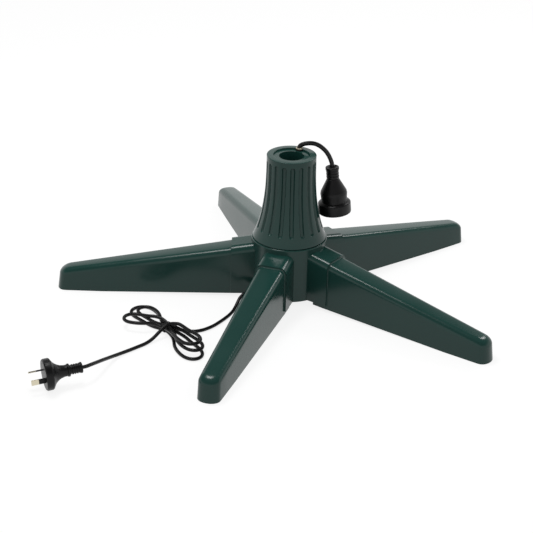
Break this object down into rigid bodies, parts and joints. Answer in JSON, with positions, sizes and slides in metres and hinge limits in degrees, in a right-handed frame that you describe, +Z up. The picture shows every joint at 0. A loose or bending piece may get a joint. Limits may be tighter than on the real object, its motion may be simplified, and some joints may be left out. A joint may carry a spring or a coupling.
{
  "type": "rotating christmas tree stand",
  "caption": "Rotating tree stand: round hub on hollow plug-in legs, geared motor inside, fluted tower that turns with a pole socket and a live connector, and a lead with a plug.",
  "frame": {"origin": "on the floor, in the middle of the footprint of the legs; the tower's axis stands 27.4 mm from it along +X", "axes": "+Z up, along the tower's axis; -X along the single leg; +X between the two legs opposite; Y across the widest pair"},
  "size_m": [0.5734, 0.6012, 0.2111],
  "materials": {
    "green": "injection moulded, glossy dark green",
    "zinc": "zinc plated",
    "steel": "turned steel",
    "polished": "polished",
    "motor_case": "drawn steel can",
    "acetal": "natural acetal, satin",
    "bronze": "bronze, satin",
    "brass": "plain, satin",
    "insulator": "laminated board, satin",
    "natural": "natural nylon, satin",
    "nylon": "clear nylon strap",
    "wire": "wire insulation",
    "black_moulding": "black moulding, satin",
    "black_rubber": "black flexible moulding, satin",
    "black_cord": "black flexible sheath, satin"
  },
  "bodies": {
    "base": {"hub_housing": "green", "leg_1": "green", "leg_2": "green", "leg_3": "green", "leg_4": "green", "leg_5": "green", "leg_screws": "zinc", "base_cover": "green", "base_screws": "zinc", "spindle": "steel", "retaining_washer": "zinc", "retaining_screw": "zinc", "lower_race": "steel", "gear_motor": "motor_case", "motor_screws": "zinc", "brush_holder": "black_moulding", "brush_contacts": "bronze", "brush_screws": "zinc", "terminal_block": "natural", "terminal_screws": "brass", "cord_clamp": "natural", "clamp_screws": "zinc", "lead_bush": "black_rubber", "lead_tail": "black_cord", "motor_wires": "wire", "brush_wires": "wire", "mains_lead": "black_cord", "mains_hank": "black_cord", "hank_tie": "black_moulding", "mains_lead_end": "black_cord", "plug_body": "black_moulding", "plug_pins": "brass", "pin_sleeves": "black_moulding"},
    "rotor": {"upper_race": "steel", "turntable": "green", "turntable_bush": "bronze", "ring_gear": "acetal", "turntable_screws": "zinc", "slip_disc": "insulator", "slip_rings": "brass", "tower_shell": "green", "pole_tube": "green", "tower_cable": "black_cord", "socket_bush": "black_rubber", "socket_tie": "nylon", "socket_lead": "black_cord", "connector_body": "black_moulding", "connector_contacts": "brass"},
    "pinion": {"motor_shaft": "steel", "motor_pinion": "acetal"},
    "cage": {"bearing_cage": "brass", "bearing_balls": "polished"}
  },
  "joints": [
    {"name": "tower_spin", "type": "hinge", "parent": "base", "child": "rotor", "pos_m": [0.0283, 0, 0.0845], "axis": [0, 0, 1], "continuous": true},
    {"name": "pinion_spin", "type": "hinge", "parent": "base", "child": "pinion", "pos_m": [0.05273, 0.01909, 0.066], "axis": [0, 0, 1], "continuous": true},
    {"name": "cage_spin", "type": "hinge", "parent": "base", "child": "cage", "pos_m": [0.0283, 0, 0.0655], "axis": [0, 0, 1], "continuous": true}
  ],
  "couplings": [
    {"joint": "pinion_spin", "follows": "tower_spin", "ratio": 4.4444},
    {"joint": "cage_spin", "follows": "tower_spin", "ratio": 0.5}
  ]
}
